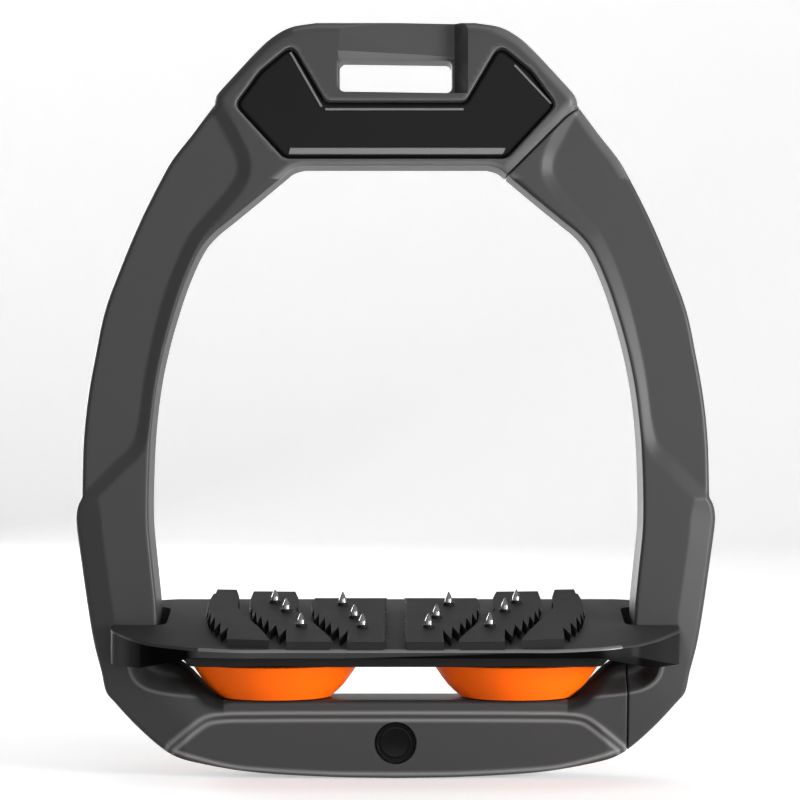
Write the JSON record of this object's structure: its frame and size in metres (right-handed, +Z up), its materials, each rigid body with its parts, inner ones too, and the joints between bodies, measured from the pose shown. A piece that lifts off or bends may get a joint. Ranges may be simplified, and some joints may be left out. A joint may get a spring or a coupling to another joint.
{
  "type": "stirrup iron",
  "caption": "Riding stirrup with a cushioned studded tread and a release arm that swings outward from the crown",
  "frame": {"origin": "middle of the leather bar's underside, which is the upper face of the leather slot", "axes": "+Z up through the crown, +X across the foot opening towards the release arm, -Y to the front"},
  "size_m": [0.1602, 0.0593, 0.189],
  "materials": {
    "frame_composite": "satin moulded grey",
    "gloss_black": "high gloss",
    "orange_elastomer": "satin",
    "black_plastic": "satin",
    "tread_composite": "satin",
    "grip_polymer": "matt",
    "steel": "bright"
  },
  "bodies": {
    "stirrup_frame": {"frame": "frame_composite", "front_crown_insert": "gloss_black", "rear_crown_insert": "gloss_black", "badge_disc": "gloss_black", "left_elastomer_spring": "orange_elastomer", "left_guide_bush": "black_plastic", "right_elastomer_spring": "orange_elastomer", "right_guide_bush": "black_plastic", "base_magnet": "steel"},
    "swing_arm": {"release_arm": "frame_composite", "hinge_pin": "steel", "arm_magnet": "steel"},
    "tread_guides": {"left_guide_screw": "steel", "left_domed_washer": "steel", "left_lock_nut": "steel", "right_guide_screw": "steel", "right_domed_washer": "steel", "right_lock_nut": "steel"},
    "tread": {"tread_plate": "tread_composite", "tread_carrier": "black_plastic", "carrier_screw_1": "steel", "carrier_screw_2": "steel", "carrier_screw_3": "steel", "carrier_screw_4": "steel", "left_outer_grip_block": "grip_polymer", "left_middle_grip_block": "grip_polymer", "left_inner_grip_block": "grip_polymer", "left_stud_1": "steel", "left_stud_2": "steel", "left_stud_3": "steel", "left_stud_4": "steel", "left_stud_5": "steel", "left_stud_6": "steel", "right_outer_grip_block": "grip_polymer", "right_middle_grip_block": "grip_polymer", "right_inner_grip_block": "grip_polymer", "right_stud_1": "steel", "right_stud_2": "steel", "right_stud_3": "steel", "right_stud_4": "steel", "right_stud_5": "steel", "right_stud_6": "steel"}
  },
  "joints": [
    {"name": "arm_release", "type": "hinge", "parent": "stirrup_frame", "child": "swing_arm", "pos_m": [0.05053, 0, -0.02348], "axis": [0, -1, 0], "range_deg": [0, 65]},
    {"name": "tread_press", "type": "slide", "parent": "stirrup_frame", "child": "tread_guides", "axis": [0, 0, -1], "range_m": [0, 0.0025], "stiffness_N_per_m": 20000, "deforming": ["left_elastomer_spring", "right_elastomer_spring"]},
    {"name": "tread_rock", "type": "hinge", "parent": "tread_guides", "child": "tread", "pos_m": [0, 0, -0.148], "axis": [1, 0, 0], "range_deg": [-2, 2], "stiffness_Nm_per_rad": 3}
  ]
}
